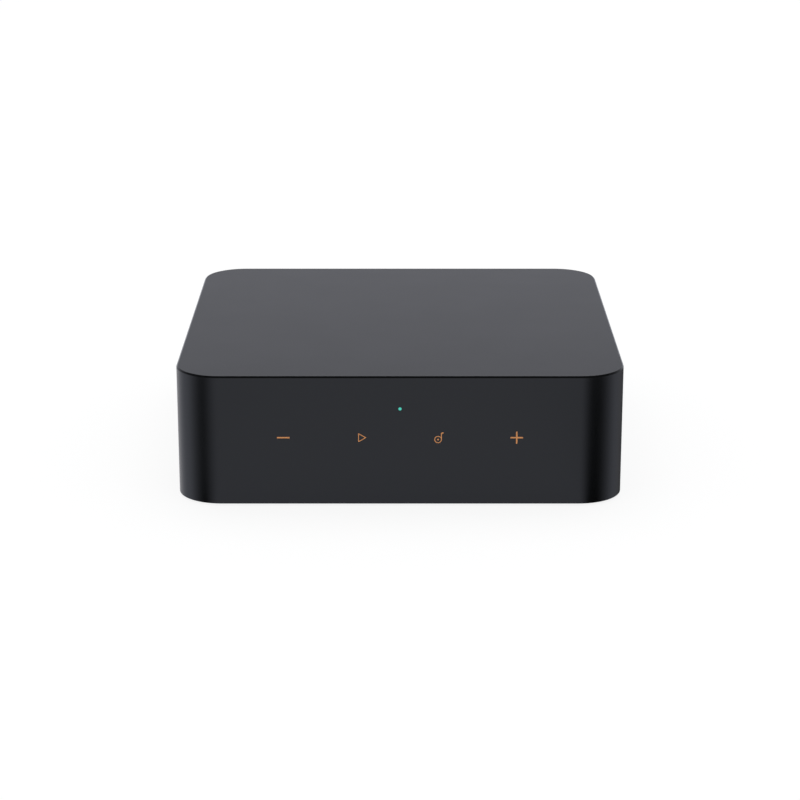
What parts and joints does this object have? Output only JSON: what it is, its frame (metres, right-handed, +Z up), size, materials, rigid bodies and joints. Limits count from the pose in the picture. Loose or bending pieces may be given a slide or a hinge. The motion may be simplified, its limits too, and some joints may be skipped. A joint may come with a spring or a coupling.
{
  "type": "network music streamer",
  "caption": "Low square music streamer with round corners, a touch front with a status light, a rubber ring foot and a recessed rear panel of audio, network and power jacks.",
  "frame": {"origin": "on the resting surface, under the middle of the housing and of the rubber foot", "axes": "+Z up, front towards -Y, jacks towards +Y, so +X is to the right seen from the front"},
  "size_m": [0.14, 0.1482, 0.042],
  "materials": {
    "housing_plastic": "fine satin, near black",
    "base_plastic": "matte moulded",
    "foot_rubber": "matte",
    "panel_plastic": "fine grained",
    "jack_plastic": "moulded",
    "screw_steel": "zinc plated",
    "shield_steel": "tinned sheet",
    "spring_steel": "drawn wire",
    "sink_aluminium": "extruded",
    "gold_contact": "gold plated",
    "board_green": "solder mask on glass fibre",
    "board_blue": "solder mask on glass fibre",
    "chip_resin": "moulded resin",
    "capacitor_sleeve": "shrunk sleeve",
    "copper": "bare copper",
    "light_pipe": "clear, lit from behind",
    "led_resin": "cast resin",
    "ribbon_film": "laminated film",
    "socket_nylon": "moulded nylon",
    "thermal_silicone": "soft pad",
    "antenna_film": "copper pattern on film",
    "lead_jacket": "extruded jacket",
    "white_nylon": "moulded",
    "red_nylon": "moulded",
    "orange_nylon": "moulded"
  },
  "bodies": {
    "housing": {"housing_shell": "housing_plastic", "base_plate": "base_plastic", "rubber_foot": "foot_rubber", "rear_panel": "panel_plastic", "base_screws": "screw_steel", "touch_board": "board_green", "touch_pads": "copper", "status_led": "led_resin", "status_light_pipe": "light_pipe", "touch_ribbon": "ribbon_film", "ribbon_sockets": "socket_nylon", "main_board": "board_green", "board_screws": "screw_steel", "radio_board": "board_blue", "radio_can": "shield_steel", "thermal_pad": "thermal_silicone", "heat_sink": "sink_aluminium", "board_chips": "chip_resin", "capacitors": "capacitor_sleeve", "clock_crystals": "shield_steel", "power_inductor": "chip_resin", "antenna_left": "antenna_film", "antenna_right": "antenna_film", "antenna_leads": "lead_jacket", "antenna_plugs": "gold_contact", "line_in_block": "jack_plastic", "line_out_block": "jack_plastic", "coax_block": "jack_plastic", "optical_out_body": "jack_plastic", "optical_out_module": "jack_plastic", "optical_out_spring": "spring_steel", "optical_in_body": "jack_plastic", "optical_in_module": "jack_plastic", "optical_in_spring": "spring_steel", "ethernet_shield": "shield_steel", "ethernet_insert": "jack_plastic", "ethernet_contacts": "gold_contact", "usb_shell": "shield_steel", "usb_tongue": "jack_plastic", "trigger_body": "jack_plastic", "trigger_bushing": "shield_steel", "reset_switch": "jack_plastic", "line_in_left_barrel": "gold_contact", "line_in_left_insulator": "white_nylon", "line_in_left_contact": "gold_contact", "line_in_right_barrel": "gold_contact", "line_in_right_insulator": "red_nylon", "line_in_right_contact": "gold_contact", "line_out_left_barrel": "gold_contact", "line_out_left_insulator": "white_nylon", "line_out_left_contact": "gold_contact", "line_out_right_barrel": "gold_contact", "line_out_right_insulator": "red_nylon", "line_out_right_contact": "gold_contact", "coax_barrel": "gold_contact", "coax_insulator": "orange_nylon", "coax_contact": "gold_contact"},
    "optical_out_flap": {"optical_out_shutter": "jack_plastic"},
    "optical_in_flap": {"optical_in_shutter": "jack_plastic"},
    "reset_key": {"reset_button": "jack_plastic"}
  },
  "joints": [
    {"name": "optical_out_flap_hinge", "type": "hinge", "parent": "housing", "child": "optical_out_flap", "pos_m": [0.00774, 0.06725, 0.0186], "axis": [-1, 0, 0], "range_deg": [0, 90], "stiffness_Nm_per_rad": 0.0004, "springref_deg": -17.19, "deforming": ["optical_out_spring"]},
    {"name": "optical_in_flap_hinge", "type": "hinge", "parent": "housing", "child": "optical_in_flap", "pos_m": [-0.00436, 0.06725, 0.0186], "axis": [-1, 0, 0], "range_deg": [0, 90], "stiffness_Nm_per_rad": 0.0004, "springref_deg": -17.19, "deforming": ["optical_in_spring"]},
    {"name": "reset_press", "type": "slide", "parent": "housing", "child": "reset_key", "axis": [0, -1, 0], "range_m": [0, 0.0003], "stiffness_N_per_m": 400, "springref_m": -0.001}
  ]
}
